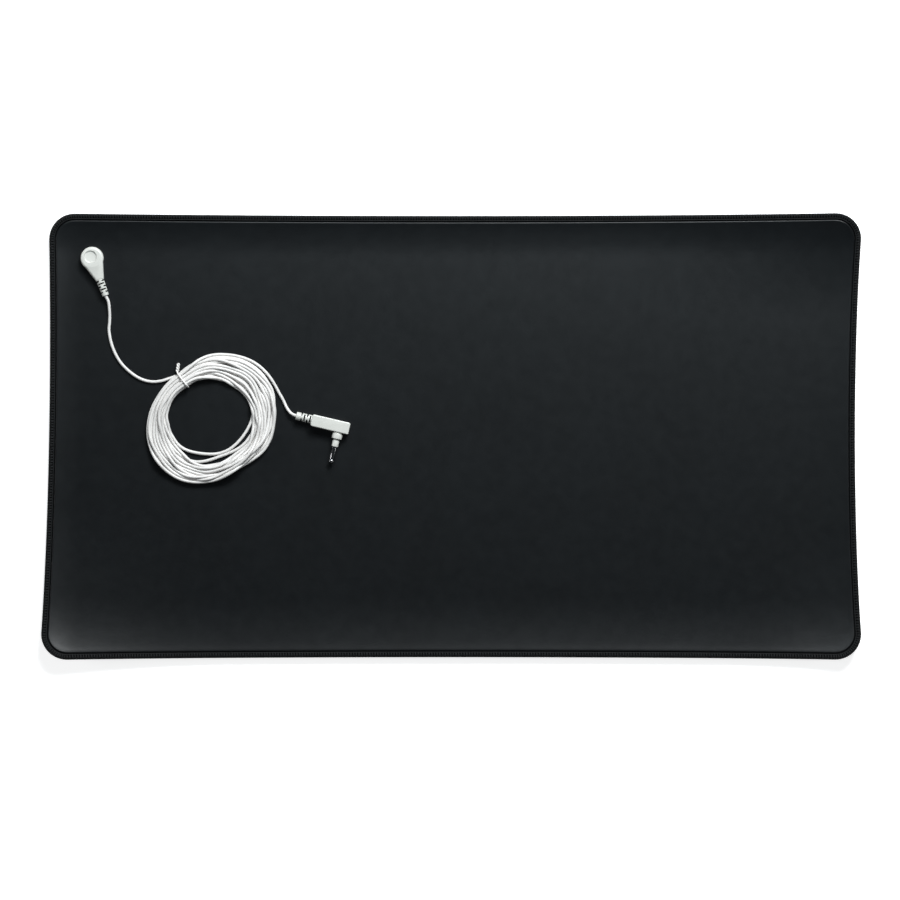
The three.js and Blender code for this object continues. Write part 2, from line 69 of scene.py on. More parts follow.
STUD = (-266.3, 133.2)
CONNECTOR_ANGLE = math.radians(-70)
CONNECTOR_SHIFT = (-0.3, -0.95)
CONNECTOR_BOTTOM = 0.6
CONNECTOR_EDGE = 1.9
HEAD_RADIUS = 8.5
HEAD_HEIGHT = 6.3
BODY_RADIUS = 8.1
BODY_HEIGHT = 6.22
BODY_LENGTH = 17.6
BODY_END = 5.8
DIMPLE_RADIUS = 4.45
DIMPLE_PLACE = (-1.3, -0.65)
STUD_BORE_RADIUS = 6.9
STUD_BORE_HEIGHT = 4.7
# Strain reliefs: length, radius at each end, and where the first side and top slots are
CONNECTOR_RELIEF = {"length": 12.0, "root": 2.95, "tip": 2.5, "side": 0.4, "top": 2.5}
PLUG_RELIEF = {"length": 11.9, "root": 3.1, "tip": 3.0, "side": 3.4, "top": 1.2}
SLOT_PITCH = 4.35
SLOT_WIDTH = 1.1
RELIEF_CORE = 2.0
WINDOW_DEPTH = 1.0

PLUG_PLACE = (162.66, -120.96)
PLUG_ANGLE = math.radians(-13.3)
PLUG_AXIS = 4.3
PLUG_SHIFT = 0.45
HOUSING = (28.8, 8.85, 8.0)  # length, width and height
PIN_OFFSET = 21.2
PIN_START = 11.2
PIN_LENGTH = 11.9

CORD = 2.2
COIL_CENTRE = (88.9, -119.5)
TIE_ANGLE = 127.8


# Scene helpers
def link(obj, *materials):
    bpy.context.scene.collection.objects.link(obj)
    for material in materials:
        obj.data.materials.append(material)
    return obj


def piece(name, bm, material, place=Matrix(), sharp=40):
    """An object from a mesh in millimetres, put where place says"""
    bmesh.ops.transform(bm, matrix=Matrix.Scale(MM, 4) @ place, verts=bm.verts)
    mesh = bpy.data.meshes.new(name)
    bm.to_mesh(mesh)
    bm.free()
    mesh.shade_smooth()
    mesh.set_sharp_from_angle(angle=math.radians(sharp))
    obj = link(bpy.data.objects.new(name, mesh), material)
    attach(obj, "root")
    return obj


def thread_curve(name, runs, radius, material, sides=6, closed=False):
    """A round strand along each run of points, in millimetres"""
    data = bpy.data.curves.new(name, "CURVE")
    data.dimensions = "3D"
    data.bevel_depth = radius * MM
    data.bevel_resolution = (sides - 4) // 2
    data.use_fill_caps = not closed
    for run in runs:
        spline = data.splines.new("POLY")
        spline.points.add(len(run) - 1)
        flat = np.ones((len(run), 4))
        flat[:, :3] = np.asarray(run) * MM
        spline.points.foreach_set("co", flat.ravel())
        spline.use_cyclic_u = closed
        spline.use_smooth = True
    obj = link(bpy.data.objects.new(name, data), material)
    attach(obj, "root")
    return obj


def smooth_run(points, step):
    """A Catmull-Rom curve through the points, about step apart"""
    p = np.asarray(points, float)
    p = np.vstack([2 * p[0] - p[1], p, 2 * p[-1] - p[-2]])
    out = []
    for i in range(1, len(p) - 2):
        a, b, c, d = p[i - 1], p[i], p[i + 1], p[i + 2]
        t1 = max(np.linalg.norm(b - a), 1e-6) ** 0.5
        t2 = t1 + max(np.linalg.norm(c - b), 1e-6) ** 0.5
        t3 = t2 + max(np.linalg.norm(d - c), 1e-6) ** 0.5
        count = max(1, int(round(np.linalg.norm(c - b) / step)))
        for t in t1 + (t2 - t1) * np.arange(count) / count:
            a1 = a * (t1 - t) / t1 + b * t / t1
            a2 = b * (t2 - t) / (t2 - t1) + c * (t - t1) / (t2 - t1)
            a3 = c * (t3 - t) / (t3 - t2) + d * (t - t2) / (t3 - t2)
            b1 = a1 * (t2 - t) / t2 + a2 * t / t2
            b2 = a2 * (t3 - t) / (t3 - t1) + a3 * (t - t1) / (t3 - t1)
            out.append(b1 * (t2 - t) / (t2 - t1) + b2 * (t - t1) / (t2 - t1))
    out.append(p[-2])
    return np.array(out)


# Camera, straight above, at the photograph's scale
CAMERA_HEIGHT = 4000.0
FRAME_WIDTH = 668.6
CAMERA_OFFSET = (-0.96, -10.05)
camera_data = bpy.data.cameras.new("camera")
camera_data.sensor_width = 36.0
camera_data.lens = 36.0 * CAMERA_HEIGHT / FRAME_WIDTH
camera_data.clip_end = 20.0
camera = bpy.data.objects.new("camera", camera_data)
bpy.context.scene.collection.objects.link(camera)
camera.location = Vector((*CAMERA_OFFSET, CAMERA_HEIGHT + MAT_THICKNESS)) * MM
bpy.context.scene.camera = camera


# Shader groups: each returns values only
class Graph:
    """A node group with named sockets, filled node by node"""

    def __init__(self, name, inputs, outputs):
        self.tree = bpy.data.node_groups.new(name, "ShaderNodeTree")
        for label, value in inputs.items():
            self.socket(label, "INPUT").default_value = value
        for label in outputs:
            self.socket(label, "OUTPUT")
        self.inputs = self.tree.nodes.new("NodeGroupInput").outputs
        self.outputs = self.tree.nodes.new("NodeGroupOutput").inputs
        self.place = self.tree.nodes.new("ShaderNodeTexCoord").outputs["Object"]

    def socket(self, label, side):
        return self.tree.interface.new_socket(name=label, in_out=side, socket_type="NodeSocketFloat")

    def add(self, kind, sockets=None, out=0, **settings):
        node = self.tree.nodes.new(kind)
        for key, value in settings.items():
            setattr(node, key, value)
        for key, value in (sockets or {}).items():
            if isinstance(value, bpy.types.NodeSocket):
                self.tree.links.new(value, node.inputs[key])
            else:
                node.inputs[key].default_value = value
        return node.outputs[out]

    def math(self, operation, a, b=0.0, clamp=False):
        return self.add("ShaderNodeMath", {0: a, 1: b}, operation=operation, use_clamp=clamp)

    def noise(self, scale, detail=2.0, roughness=0.5, vector=None):
        sockets = {"Vector": vector or self.place, "Scale": scale, "Detail": detail, "Roughness": roughness}
        return self.add("ShaderNodeTexNoise", sockets, out="Fac")

    def span(self, value, low, high, to_low=0.0, to_high=1.0):
        sockets = {"Value": value, "From Min": low, "From Max": high, "To Min": to_low, "To Max": to_high}
        return self.add("ShaderNodeMapRange", sockets, out="Result")

    def give(self, **values):
        for label, value in values.items():
            self.tree.links.new(value, self.outputs[label])
        return self.tree


def leather_group():
    """Pebbled leather grain: rounded cells between fine creases, and slow changes of tone"""
    g = Graph("Leather grain", {"Cell": 1250.0}, ["Height", "Tone", "Rough"])
    bend = g.add("ShaderNodeTexNoise", {"Vector": g.place, "Scale": 260.0, "Detail": 2.0}, out="Color")
    offset = g.add("ShaderNodeVectorMath", {0: bend, 1: (0.5, 0.5, 0.5)}, operation="SUBTRACT")
    shift = g.add("ShaderNodeVectorMath", {0: offset, "Scale": 0.0016}, operation="SCALE")
    vector = g.add("ShaderNodeVectorMath", {0: g.place, 1: shift}, operation="ADD")
    cell = {"Vector": vector, "Scale": g.inputs["Cell"]}
    edge = g.add("ShaderNodeTexVoronoi", cell, out="Distance", feature="DISTANCE_TO_EDGE")
    pebble = g.span(edge, 0.0, 0.32)
    dome = g.math("POWER", pebble, 0.55)
    fine = g.noise(5200.0, 3.0, 0.6)
    height = g.math("ADD", dome, g.math("MULTIPLY", fine, 0.3))
    slow = g.noise(14.0, 3.0, 0.55)
    mid = g.noise(120.0, 3.0, 0.6)
    tone = g.math("ADD", g.math("MULTIPLY", slow, 0.65), g.math("MULTIPLY", mid, 0.35))
    rough = g.math("ADD", g.math("MULTIPLY", pebble, -0.35), g.math("MULTIPLY", mid, 0.9))
    return g.give(Height=height, Tone=g.span(tone, 0.35, 0.65), Rough=g.span(rough, -0.2, 0.6))


def fibre_group():
    """Spun filaments of sewing thread"""
    g = Graph("Thread fibre", {"Fineness": 2600.0}, ["Height", "Tone"])
    strands = g.noise(g.inputs["Fineness"], 4.0, 0.7)
    clumps = g.noise(700.0, 2.0, 0.5)
    height = g.math("ADD", g.math("MULTIPLY", strands, 0.7), g.math("MULTIPLY", clumps, 0.5))
    return g.give(Height=height, Tone=g.span(clumps, 0.3, 0.7))


def moulding_group():
    """Moulded plastic: a fine spark texture, faint flow tone, and a slightly darker tone where the spark texture
    dips
    """
    g = Graph("Moulded surface", {"Spark": 3600.0}, ["Height", "Tone", "Rough"])
    spark = g.noise(g.inputs["Spark"], 2.0, 0.5)
    swell = g.noise(190.0, 2.0, 0.5)
    height = g.math("ADD", g.math("MULTIPLY", spark, 0.25), g.math("MULTIPLY", swell, 0.75))
    flow = g.noise(90.0, 3.0, 0.6)
    tone = g.math("ADD", g.math("MULTIPLY", flow, 0.6), g.math("MULTIPLY", spark, 0.4))
    return g.give(Height=height, Tone=g.span(tone, 0.35, 0.65), Rough=g.span(swell, 0.3, 0.7))


def plating_group():
    """Nickel plating: hair scratches and dulled patches"""
    g = Graph("Plated metal", {"Scratch": 5200.0}, ["Height", "Tone", "Rough"])
    flat = g.add("ShaderNodeVectorMath", {0: g.place, 1: (1.0, 0.08, 0.4)}, operation="MULTIPLY")
    hair = g.noise(g.inputs["Scratch"], 3.0, 0.7, vector=flat)
    patch = g.noise(420.0, 3.0, 0.6)
    rough = g.math("ADD", g.math("MULTIPLY", hair, 0.45), g.math("MULTIPLY", patch, 0.55))
    return g.give(Height=hair, Tone=g.span(patch, 0.3, 0.7), Rough=g.span(rough, 0.35, 0.65))


def finish_material(name, group, dark, light, rough, bump, metallic=0.0, coat=0.0, specular=0.5, cell=None):
    """A surface whose tone, roughness and relief come from one group"""
    material = bpy.data.materials.new(name)
    material.use_nodes = True
    nodes, links = material.node_tree.nodes, material.node_tree.links
    shader = nodes["Principled BSDF"]
    shader.inputs["Metallic"].default_value = metallic
    shader.inputs["Coat Weight"].default_value = coat
    shader.inputs["Coat Roughness"].default_value = 0.15
    shader.inputs["Specular IOR Level"].default_value = specular
    effect = nodes.new("ShaderNodeGroup")
    effect.node_tree = group
    if cell is not None:
        effect.inputs[0].default_value = cell
    mix = nodes.new("ShaderNodeMix")
    mix.data_type = "RGBA"
    mix.inputs[6].default_value = (*dark, 1)
    mix.inputs[7].default_value = (*light, 1)
    links.new(effect.outputs["Tone"], mix.inputs[0])
    links.new(mix.outputs[2], shader.inputs["Base Color"])
    if "Rough" in effect.outputs:
        spread = nodes.new("ShaderNodeMapRange")
        spread.inputs["To Min"].default_value = rough[0]
        spread.inputs["To Max"].default_value = rough[1]
        links.new(effect.outputs["Rough"], spread.inputs["Value"])
        links.new(spread.outputs["Result"], shader.inputs["Roughness"])
    else:
        shader.inputs["Roughness"].default_value = rough[0]
    relief = nodes.new("ShaderNodeBump")
    relief.inputs["Strength"].default_value = 1.0
    relief.inputs["Distance"].default_value = bump * MM
    links.new(effect.outputs["Height"], relief.inputs["Height"])
    links.new(relief.outputs["Normal"], shader.inputs["Normal"])
    return material


leather_grain = leather_group()
thread_fibre = fibre_group()
moulded = moulding_group()
plating = plating_group()
leatherette = finish_material(
    "leatherette", leather_grain, (0.0013, 0.0021, 0.0028), (0.0020, 0.0031, 0.0040),
    rough=(0.33, 0.39), bump=0.014, specular=0.42,
)
black_thread = finish_material(
    "black_thread", thread_fibre, (0.004, 0.0045, 0.005), (0.011, 0.0122, 0.0132),
    rough=(0.6, 0.6), bump=0.05, specular=0.2,
)
# Near-black thread under the loops, darker than the looper thread, also laid over the groove by the stitching as
# painted shade
thread_base_and_groove_shade = finish_material(
    "thread_base_and_groove_shade", thread_fibre, (0.0010, 0.0011, 0.0012), (0.0028, 0.0030, 0.0032),
    rough=(0.9, 0.9), bump=0.1, specular=0.06,
)
white_plastic = finish_material(
    "white_plastic", moulded, (0.55, 0.555, 0.52), (0.62, 0.62, 0.585), rough=(0.26, 0.38), bump=0.03, coat=0.5,
)
white_cord = finish_material(
    "white_cord", moulded, (0.62, 0.605, 0.59), (0.72, 0.70, 0.68), rough=(0.3, 0.42), bump=0.02, cell=5200.0,
)
tie_plastic = finish_material(
    "tie_plastic", moulded, (0.72, 0.705, 0.69), (0.82, 0.80, 0.78), rough=(0.4, 0.55), bump=0.05, cell=4000.0,
)
plated_metal = finish_material(
    "plated_metal", plating, (0.25, 0.25, 0.26), (0.38, 0.38, 0.39), rough=(0.1, 0.22), bump=0.01, metallic=1.0,
)


# The coil: each turn is placed in the bundle, then all are packed like real round cord
# Inner and outer faces of the bundle, every 30 degrees round the coil from +X
BUNDLE_INNER = [29.8, 29.2, 28.0, 29.2, 30.9, 32.3, 33.6, 35.2, 36.0, 32.4, 31.0, 31.5]
BUNDLE_OUTER = [46.9, 50.0, 49.1, 45.2, 42.1, 42.4, 47.6, 52.2, 52.2, 47.4, 42.6, 46.0]
# The same two faces under the tie, and how far round the tie's squeeze reaches
TIED_SPAN = (29.9, 41.6)
TIE_REACH = 11.0
SLICES = 90
LEAD_ANGLE = 145.0
TAIL_ANGLE = 14.0
CORD_REST = 0.15
TIE_ROOM = 0.55
PACKING_ROUNDS = 2000
# Where each turn lies across the bundle, from -1 inside to 1 outside, at six angles
TURN_ANGLES = (TIE_ANGLE, 40, -15, -60, -135, -185)
TURN_PLACES = [
    (1.0, 0.95, 0.7, 0.45, 0.4, 0.45),
    (0.45, 0.65, 0.45, 0.0, -0.1, -0.1),
    (-0.1, 0.3, 0.1, -0.35, -0.55, -0.5),
    (-0.5, 0.0, -0.3, -1.25, -1.0, -1.0),
    (-1.0, -0.85, -0.8, -0.6, -0.7, -0.6),
    (-0.6, -0.5, -0.95, -1.75, -1.2, -0.95),
    (-0.9, -0.6, -0.55, -0.4, -0.35, -0.25),
    (-0.25, 0.15, 0.25, 0.1, 0.15, 0.25),
    (0.3, 0.55, 0.75, 0.6, 0.65, 0.7),
    (0.8, 0.85, 0.6, -0.15, -0.75, -0.75),
    (-0.8, -1.0, -0.9, -0.2, 0.0, 0.0),
    (0.0, -0.15, 0.0, 0.6, 0.9, 0.75),
    (0.75, 0.75, 0.9, 0.95, -0.1, -0.3),
    (-0.4, -0.8, -0.75, 0.05, 0.45, 0.3),
    (0.2, 0.1, 0.1, 0.8, 1.05, 0.95),
    (0.95, 0.5, 0.45, -0.05, -0.35, -0.4),
    (-0.4, -0.55, -0.55, 0.35, 0.7, 0.8),
]
LAST_PLACE = 0.95
# Three slack turns that hang inside the bundle's lower edge: angle and radius
SLACK = {
    5: [
        (352, 28.6), (346, 27.7), (340, 27.1), (330, 26.4), (320, 26.1), (310, 26.1), (300, 26.4), (290, 26.7),
        (280, 26.8), (270, 26.8), (260, 27.0), (250, 27.8), (240, 29.1), (230, 30.8), (220, 32.2), (210, 33.2),
    ],
    3: [
        (345, 33.8), (340, 33.2), (330, 32.4), (320, 31.1), (310, 29.8), (300, 28.8),
        (290, 28.6), (280, 29.0), (270, 30.4), (260, 32.4), (250, 34.8), (240, 36.8),
    ],
    4: [(262, 38.0), (255, 37.3), (248, 36.5), (240, 35.6), (230, 34.8), (220, 34.4), (210, 34.7), (200, 35.2)],
}
# Angle and radius of the cord's two ends over the bundle
TAIL_PLACES = [
    (110, 42.2), (100, 44.5), (90, 46.2), (80, 47.1), (70, 48.9), (60, 50.8),
    (50, 51.9), (40, 52.3), (30, 52.5), (20, 53.0), (12, 54.7),
]
LEAD_PLACES = [(150, 51.0), (145.8, 48.0), (141.4, 45.18), (134, 42.0), (TIE_ANGLE, 40.6)]


def hermite(xs, ys, x):
    """A smooth curve through the given points, read at x"""
    xs, ys = np.asarray(xs, float), np.asarray(ys, float)
    slope = np.gradient(ys, xs)
    k = np.clip(np.searchsorted(xs, x) - 1, 0, len(xs) - 2)
    h = xs[k + 1] - xs[k]
    t = (x - xs[k]) / h
    near = (2 * t**3 - 3 * t**2 + 1) * ys[k] + (t**3 - 2 * t**2 + t) * h * slope[k]
    return near + (3 * t**2 - 2 * t**3) * ys[k + 1] + (t**3 - t**2) * h * slope[k + 1]


def round_table(values, degrees):
    """Values given at even steps round a circle, read smoothly at any angle"""
    n = len(values)
    ring = np.array([*values[-2:], *values, *values[:3]], float)
    marks = np.arange(-2, n + 3) * 360.0 / n
    return hermite(marks, ring, np.asarray(degrees) % 360.0)


def ease(t):
    """A soft step from 0 to 1"""
    t = np.clip(t, 0, 1)
    return t * t * (3 - 2 * t)


def plan_coil():
    """Where each slice of the cord wants to be, how strongly, and the room that it has"""
    half = CORD / 2
    step = 360.0 / SLICES
    turns = len(TURN_PLACES)
    first = TIE_ANGLE + step * round((LEAD_ANGLE - TIE_ANGLE) / step)
    count = int(round((LEAD_ANGLE - TAIL_ANGLE + turns * 360.0) / step)) + 1
    theta = first - step * np.arange(count)
    travelled = TIE_ANGLE - theta
    rng = np.random.default_rng(3)
    marks, places = [], []
    for i, row in enumerate(TURN_PLACES):
        for angle, place in zip(TURN_ANGLES, row):
            marks.append(360.0 * i + TIE_ANGLE - angle)
            places.append(place + 0.04 * rng.normal())
    marks.append(360.0 * turns)
    places.append(LAST_PLACE)
    across = hermite(marks, places, np.clip(travelled, 0, turns * 360.0))
    apart = np.abs((theta - TIE_ANGLE + 180) % 360 - 180)
    tied = np.exp(-((apart / TIE_REACH) ** 2))
    inner = (round_table(BUNDLE_INNER, theta) * (1 - tied) + TIED_SPAN[0] * tied) + half
    outer = (round_table(BUNDLE_OUTER, theta) * (1 - tied) + TIED_SPAN[1] * tied) - half
    target = 0.5 * (inner + outer) + 0.5 * across * (outer - inner)
    weight = np.full(count, 0.02)
    free = np.zeros(count, bool)
    for i, table in SLACK.items():
        run = sorted((i * 360.0 + TIE_ANGLE - (a - 360), r) for a, r in table)
        at = np.array([p[0] for p in run])
        part = ease(np.minimum((travelled - at[0] + 30) / 30, (at[-1] + 30 - travelled) / 30))
        target = target * (1 - part) + np.interp(travelled, at, [p[1] for p in run]) * part
        weight = weight * (1 - part) + 0.12 * part
        free |= part > 0
    tail_at = [turns * 360 + TIE_ANGLE - a for a, _ in TAIL_PLACES]
    tail = travelled >= tail_at[0]
    target[tail] = np.interp(travelled[tail], tail_at, [r for _, r in TAIL_PLACES])
    weight[tail] = 0.2
    lead = travelled <= 0
    lead_at = [TIE_ANGLE - a for a, _ in LEAD_PLACES]
    target[lead] = np.interp(travelled[lead], lead_at, [r for _, r in LEAD_PLACES])
    weight[lead] = 0.3
    free |= tail | lead
    floor = half + CORD_REST + TIE_ROOM * np.exp(-((apart / 3.5) ** 2)) * ~(lead | tail)
    return theta, target, weight, inner, outer, floor, ~free, apart < step * 0.6


def pack_coil():
    """Angle, radius and height of the cord's centreline through the coil, above the mat's top"""
    theta, target, weight, inner, outer, floor, held, band = plan_coil()
    count = len(theta)
    turns = len(TURN_PLACES)
    travelled = TIE_ANGLE - theta
    tied_inner, tied_outer = TIED_SPAN[0] + CORD / 2, TIED_SPAN[1] - CORD / 2
    r = target.copy()
    # The turns start stacked, with the tail brought down to the mat, and then settle
    z = floor + 2.3 * np.maximum(travelled / 360.0, 0)
    down = ease((travelled - turns * 360 - 25) / 45)
    z = z * (1 - down) + floor * down
    # Each slice is set against the slices of the other turns at its own angle
    low = np.concatenate([np.arange(0, count - SLICES * m) for m in range(1, turns + 1)])
    high = np.concatenate([np.arange(SLICES * m, count) for m in range(1, turns + 1)])
    before = np.maximum(low - 2, 0) - low
    after = np.minimum(high + 2, count - 1) - high
    fixed = np.zeros(count, bool)
    fixed[:2] = fixed[-3:] = True
    r_fixed, z_fixed = r[fixed].copy(), floor[fixed].copy()
    for turn in range(PACKING_ROUNDS):
        share = turn / PACKING_ROUNDS
        z -= 0.07 if share < 0.9 else 0.03
        r += (target - r) * weight * (1 - 0.8 * share)
        r[held] += 0.3 * (np.clip(r[held], inner[held] - 0.25, outer[held] + 0.25) - r[held])
        # The cord's stiffness evens its bends
        for line in (r, z):
            for _ in range(2):
                lap = np.zeros(count)
                lap[1:-1] = 0.5 * (line[2:] + line[:-2]) - line[1:-1]
                line[2:-2] += 0.22 * (lap[2:-2] - 0.5 * (lap[3:-1] + lap[1:-3]))
            if line is z:
                line += 0.10 * lap
        if turn % 5 == 0:
            gap_before = r[high + before] - r[low + before]
            gap_after = r[high + after] - r[low + after]
            crossing = gap_before * gap_after < 0
        # Neighbours push each other apart, and where two cross the later one is lifted
        for _ in range(4):
            dr, dz = r[high] - r[low], z[high] - z[low]
            near = (np.abs(dr) < CORD) & (np.abs(dz) < 1.6 * CORD)
            a, b, dr, dz, over = low[near], high[near], dr[near], dz[near], crossing[near]
            dist = np.hypot(dr, dz) + 1e-9
            push = np.where(over, 0, np.maximum(0, CORD - dist)) * 0.25 / dist
            lift = np.where(over, np.maximum(0, np.sqrt(np.maximum(CORD**2 - dr**2, 0)) - dz) * 0.25, 0)
            move_r = np.bincount(b, push * dr, count) - np.bincount(a, push * dr, count)
            move_z = np.bincount(b, push * dz + lift, count) - np.bincount(a, push * dz + lift, count)
            r += np.clip(move_r, -0.4, 0.4)
            z = np.maximum(z + np.clip(move_z, -0.4, 0.4), floor)
            r[band] = np.clip(r[band], tied_inner, tied_outer)
        r[fixed], z[fixed] = r_fixed, z_fixed
    return theta, r, z


# Places of the connector and the plug, and of the cord between them
ON_MAT = Matrix.Translation((*STUD, MAT_THICKNESS))
AT_CONNECTOR = (
    ON_MAT @ Matrix.Translation((*CONNECTOR_SHIFT, CONNECTOR_BOTTOM)) @ Matrix.Rotation(CONNECTOR_ANGLE, 4, "Z")
)
AT_PLUG = ON_MAT @ Matrix.Translation((*PLUG_PLACE, PLUG_AXIS)) @ Matrix.Rotation(PLUG_ANGLE, 4, "Z")
RELIEF_AXIS = HEAD_HEIGHT / 2
stud_place = np.array([*STUD, MAT_THICKNESS])


def world(place, *point):
    """A point of a placed piece in the mat's own millimetres"""
    return np.array(place @ Vector(point))


coil_theta, coil_r, coil_z = pack_coil()
coil_angle = np.radians(coil_theta)
coil_points = np.stack([
    COIL_CENTRE[0] + coil_r * np.cos(coil_angle),
    COIL_CENTRE[1] + coil_r * np.sin(coil_angle),
    coil_z,
], axis=1) + stud_place
lead_end = world(AT_CONNECTOR, BODY_LENGTH + CONNECTOR_RELIEF["length"], 0, RELIEF_AXIS)
lead_points = [
    world(AT_CONNECTOR, BODY_LENGTH + CONNECTOR_RELIEF["length"] - 2.5, 0, RELIEF_AXIS),
    lead_end,
    *(stud_place + np.array(p) for p in [
        (11.75, -33.0, 3.35), (12.5, -39.4, 2.5), (12.6, -47, 1.45), (12.1, -54.7, 1.2), (14.6, -66.4, 1.2),
        (19.9, -77.1, 1.2), (27.3, -85, 1.2), (35.8, -90.5, 1.2), (43.5, -92.5, 1.2),
    ]),
]
plug_entry = world(AT_PLUG, -PLUG_RELIEF["length"], PLUG_SHIFT, 0)
tail_points = [
    *(stud_place + np.array(p) for p in [(144.3, -112.1, 2.2), (147.6, -116.1, 3.7)]),
    plug_entry,
    world(AT_PLUG, -PLUG_RELIEF["length"] + 2.5, PLUG_SHIFT, 0),
]
cord_line = smooth_run([*lead_points, *coil_points, *tail_points], 1.5)
cord = thread_curve("cord", [cord_line], CORD / 2, white_cord, sides=12)
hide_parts("cord_lead", "cord_coil", "cord_tail")


# Mat
def settle(x, y):
    """The mat's sides bow in a little between the corners, and its left side leans"""
    reach_x = MAT_LENGTH / 2 - CORNER_RADIUS
    reach_y = MAT_WIDTH / 2 - CORNER_RADIUS
    across = np.maximum(0, 1 - (y / reach_y) ** 2)
    along = np.maximum(0, 1 - (x / reach_x) ** 2)
    climb = np.clip((y + reach_y) / (2 * reach_y), 0, 1)
    pull_x = np.where(x > 0, BOW["right"], BOW["left"]) * across
    pull_y = np.where(y > 0, BOW["top"], BOW["bottom"]) * along
    lean = LEFT_LEAN * climb * np.maximum(0, -x / (MAT_LENGTH / 2))
    return x - x / (MAT_LENGTH / 2) * pull_x + lean, y - y / (MAT_WIDTH / 2) * pull_y


def ramp(distance, reach):
    """1 at the rim, easing to 0 at the reach"""
    return np.maximum(0, 1 - distance / reach) ** 2


def curl(x, y):
    """Height of the underside above the floor"""
    half_x, half_y = MAT_LENGTH / 2, MAT_WIDTH / 2
    far = {"left": half_x + x, "right": half_x - x, "top": half_y - y, "bottom": half_y + y}
    lift = sum(height * ramp(far[side], reach) for side, (height, reach) in SIDE_CURL.items())
    for sx, sy, height, reach_x, reach_y in CORNER_CURL:
        lift = lift + height * ramp(half_x - sx * x, reach_x) * ramp(half_y - sy * y, reach_y)
    return lift


GRID_SPACING = 3.4
# Grid lines along the rim, by their inset from it
EDGE_LINES = [
    0, 0.5, 1.1, 1.9, 2.8, 3.6, 4.3, 4.6, 4.85, 5.1, 5.35, 5.7, 6.3, 7.1, 8.2, 9.8, 12.0, 15.0, CORNER_RADIUS,
]


def grid_lines(half):
    """Even lines over the middle of the mat and closer ones at its two rims"""
    inside = half - CORNER_RADIUS
    middle = np.linspace(-inside, inside, int(round(2 * inside / GRID_SPACING)) + 1)
    rim = np.array([half - t for t in EDGE_LINES[:-1]])
    return np.concatenate([-rim, middle, rim[::-1]])


def round_corner(x, y):
    """Bends the square corners of a grid to arcs, each grid line to an arc of its own"""
    ax = (np.abs(x) - (MAT_LENGTH / 2 - CORNER_RADIUS)) / CORNER_RADIUS
    ay = (np.abs(y) - (MAT_WIDTH / 2 - CORNER_RADIUS)) / CORNER_RADIUS
    corner = (ax > 0) & (ay > 0)
    big = np.maximum(np.maximum(ax, ay), 1e-9)
    small = np.minimum(ax, ay)
    turn = math.pi / 4 * small / big
    turn = np.where(ax >= ay, turn, math.pi / 2 - turn)
    new_x = np.sign(x) * (MAT_LENGTH / 2 - CORNER_RADIUS + CORNER_RADIUS * big * np.cos(turn))
    new_y = np.sign(y) * (MAT_WIDTH / 2 - CORNER_RADIUS + CORNER_RADIUS * big * np.sin(turn))
    inset = CORNER_RADIUS * (1 - np.maximum(ax, ay))
    return np.where(corner, new_x, x), np.where(corner, new_y, y), inset


def mat_top(inset):
    """Height of the top face: squeezed under the thread, a soft roll inside the stitching"""
    squeeze = 0.95 * (1 - ease((inset - 4.5) / 0.95))
    roll = 0.05 * np.exp(-(((inset - 6.6) / 1.5) ** 2))
    rounding = 0.6 * (1 - ease(inset / 1.1))
    return MAT_THICKNESS - squeeze - rounding + roll


def mat_bottom(inset):
    """Height of the underside: drawn up under the thread and rounded at the rim"""
    return 0.35 * (1 - ease((inset - 4.5) / 1.5)) + 0.45 * (1 - ease(inset / 1.1))


def mat_mesh():
    xs = grid_lines(MAT_LENGTH / 2)
    ys = grid_lines(MAT_WIDTH / 2)
    bm = bmesh.new()
    bmesh.ops.create_grid(bm, x_segments=len(xs) - 1, y_segments=len(ys) - 1, size=1.0)
    bm.verts.ensure_lookup_table()
    col = np.array([round((v.co.x + 1) / 2 * (len(xs) - 1)) for v in bm.verts])
    row = np.array([round((v.co.y + 1) / 2 * (len(ys) - 1)) for v in bm.verts])
    x, y, inset = round_corner(xs[col], ys[row])
    inset = np.minimum(inset, CORNER_RADIUS)
    flat = np.minimum(MAT_LENGTH / 2 - np.abs(x), MAT_WIDTH / 2 - np.abs(y))
    inset = np.where(inset < CORNER_RADIUS, inset, flat)
    sx, sy = settle(x, y)
    base = curl(x, y)
    top = base + mat_top(inset)
    bottom = base + mat_bottom(inset)
    number = bm.verts.layers.int.new("number")
    for i, v in enumerate(bm.verts):
        v.co = (sx[i], sy[i], top[i])
        v[number] = i
    made = bmesh.ops.extrude_face_region(bm, geom=list(bm.faces), use_keep_orig=True)
    for v in made["geom"]:
        if isinstance(v, bmesh.types.BMVert):
            v.co.z = bottom[v[number]]
    bmesh.ops.recalc_face_normals(bm, faces=bm.faces)
    return bm


mat = piece("mat", mat_mesh(), leatherette, sharp=70)
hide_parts("mat_sheet")


# Overlocked rim
STRAIGHT_X = MAT_LENGTH - 2 * CORNER_RADIUS
STRAIGHT_Y = MAT_WIDTH - 2 * CORNER_RADIUS
ARC = CORNER_RADIUS * math.pi / 2
PERIMETER = 2 * (STRAIGHT_X + STRAIGHT_Y) + 4 * ARC


